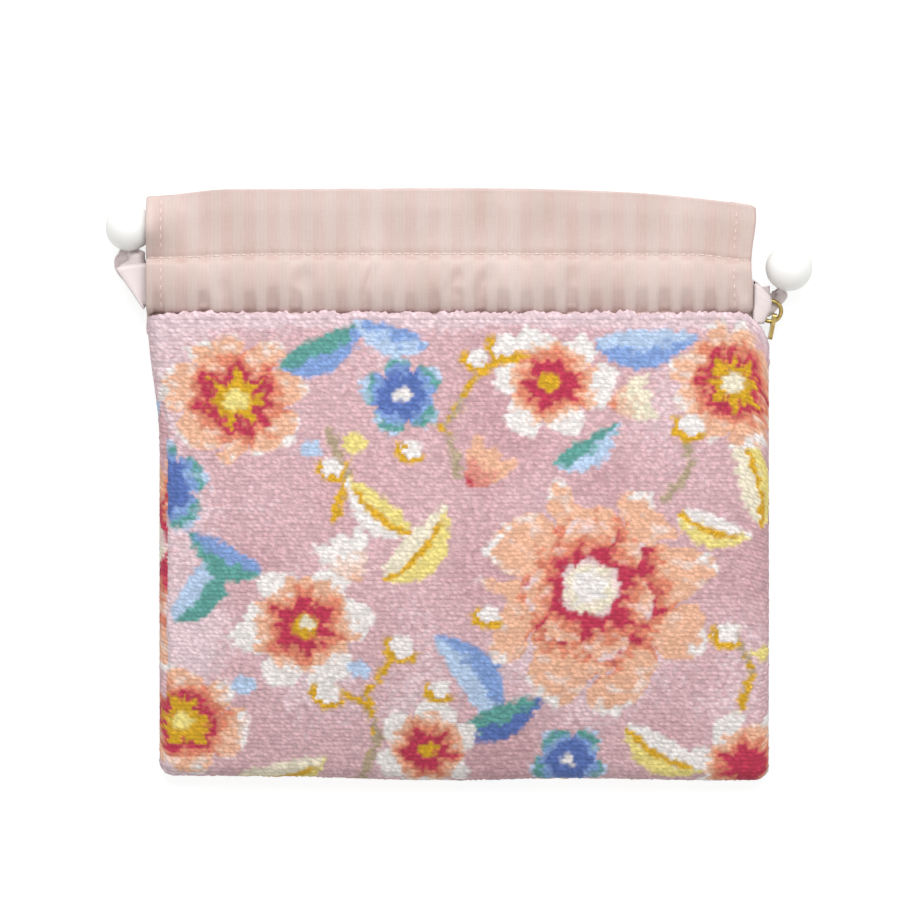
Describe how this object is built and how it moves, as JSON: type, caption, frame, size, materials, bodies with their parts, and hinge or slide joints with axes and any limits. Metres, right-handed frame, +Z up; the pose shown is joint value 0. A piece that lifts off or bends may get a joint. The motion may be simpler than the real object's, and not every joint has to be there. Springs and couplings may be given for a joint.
{
  "type": "kinchaku drawstring pouch",
  "caption": "Flat lined kinchaku pouch of pile cloth with a stitched satin mouth strip, counter-running ribbon drawstrings, pearl beads and a small gilt charm.",
  "frame": {"origin": "centre of the resting face under the sewn pouch, without its ribbons, beads and charm", "axes": "+X to the side with the charm, +Y from the foot of the body towards the mouth, +Z up out of the face it rests on"},
  "size_m": [0.2313, 0.1938, 0.0217],
  "materials": {
    "pile_cloth": "short looped pile, matte",
    "satin": "striped satin, soft sheen",
    "ribbon_satin": "satin ribbon, soft sheen",
    "nacre": "pearl lustre",
    "gilt": "polished, pale gold plated"
  },
  "bodies": {
    "pouch": {"front_panel": "pile_cloth", "back_panel": "pile_cloth", "front_lining": "satin", "back_lining": "satin", "front_band": "satin", "back_band": "satin"},
    "left_pull": {"left_drawstring": "ribbon_satin", "left_pearl": "nacre"},
    "right_pull": {"right_drawstring": "ribbon_satin", "right_pearl": "nacre"},
    "ring": {"charm_ring": "gilt"},
    "plate": {"charm_plate": "gilt"}
  },
  "joints": [
    {"name": "left_pull_slide", "type": "slide", "parent": "pouch", "child": "left_pull", "axis": [-1, 0, 0], "range_m": [0, 0.0035]},
    {"name": "right_pull_slide", "type": "slide", "parent": "pouch", "child": "right_pull", "axis": [1, 0, 0], "range_m": [0, 0.0035]},
    {"name": "ring_swing", "type": "hinge", "parent": "right_pull", "child": "ring", "pos_m": [0.10061, 0.0597, 0.00385], "axis": [-0.766, -0.6428, 0], "range_deg": [0, 25]},
    {"name": "plate_swing", "type": "hinge", "parent": "ring", "child": "plate", "pos_m": [0.10362, 0.0538, 0.00385], "axis": [-0.9703, -0.2419, 0], "range_deg": [0, 22]}
  ]
}
